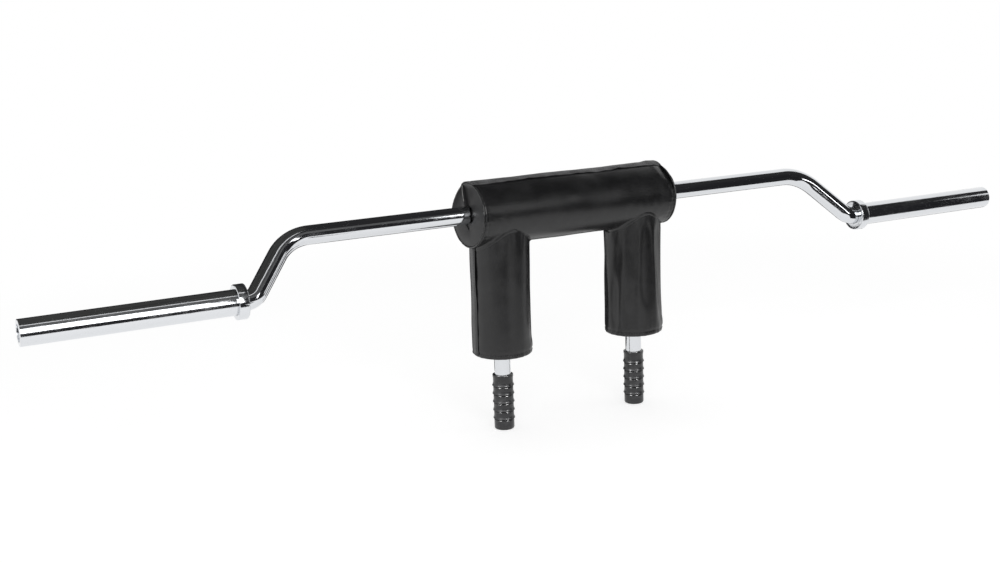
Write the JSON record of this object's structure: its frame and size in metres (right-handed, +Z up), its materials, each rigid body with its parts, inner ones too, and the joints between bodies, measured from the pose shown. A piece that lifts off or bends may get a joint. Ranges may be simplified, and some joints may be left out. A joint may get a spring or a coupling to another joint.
{
  "type": "safety squat bar",
  "caption": "Cambered chrome squat bar with a padded yoke, two padded hanging handles with ribbed grips, and a free-spinning plate sleeve with a collar at each end.",
  "frame": {"origin": "on the floor plane under the grips, in the middle of the part's box", "axes": "+X along the bar, toward the lifter's right in use, +Y toward the back, the side of the neck pad's closure, +Z up with the handles hanging down"},
  "size_m": [2.29, 0.1706, 0.544],
  "materials": {
    "shaft_chrome": "polished hard chrome",
    "sleeve_chrome": "polished hard chrome",
    "collar_chrome": "polished hard chrome, lightly scuffed by plates",
    "handle_chrome": "polished hard chrome",
    "bushing_bronze": "oiled sintered bronze",
    "washer_steel": "plain ground steel",
    "spring_steel": "phosphated spring steel",
    "grip_rubber": "satin moulded rubber",
    "pad_vinyl": "grained upholstery vinyl",
    "end_vinyl": "grained upholstery vinyl",
    "pad_foam": "open-cell foam",
    "closure_tape": "woven hook and loop tape"
  },
  "bodies": {
    "frame": {"shaft": "shaft_chrome", "left_handle_tube": "handle_chrome", "right_handle_tube": "handle_chrome", "left_grip": "grip_rubber", "right_grip": "grip_rubber", "neck_foam": "pad_foam", "neck_cover": "pad_vinyl", "neck_closure": "closure_tape", "left_neck_end_disc": "end_vinyl", "right_neck_end_disc": "end_vinyl", "left_arm_foam": "pad_foam", "right_arm_foam": "pad_foam", "left_arm_cover": "pad_vinyl", "right_arm_cover": "pad_vinyl", "left_arm_bottom_disc": "end_vinyl", "right_arm_bottom_disc": "end_vinyl", "left_arm_closure": "closure_tape", "right_arm_closure": "closure_tape", "left_thrust_washer": "washer_steel", "right_thrust_washer": "washer_steel", "left_end_washer": "washer_steel", "right_end_washer": "washer_steel", "left_snap_ring": "spring_steel", "right_snap_ring": "spring_steel"},
    "left_sleeve": {"left_sleeve_tube": "sleeve_chrome", "left_collar": "collar_chrome", "left_inner_bushing": "bushing_bronze", "left_outer_bushing": "bushing_bronze"},
    "right_sleeve": {"right_sleeve_tube": "sleeve_chrome", "right_collar": "collar_chrome", "right_inner_bushing": "bushing_bronze", "right_outer_bushing": "bushing_bronze"}
  },
  "joints": [
    {"name": "left_sleeve_spin", "type": "hinge", "parent": "frame", "child": "left_sleeve", "pos_m": [-0.735, -0.05129, 0.37347], "axis": [1, 0, 0], "continuous": true},
    {"name": "right_sleeve_spin", "type": "hinge", "parent": "frame", "child": "right_sleeve", "pos_m": [0.735, -0.05129, 0.37347], "axis": [1, 0, 0], "continuous": true}
  ]
}
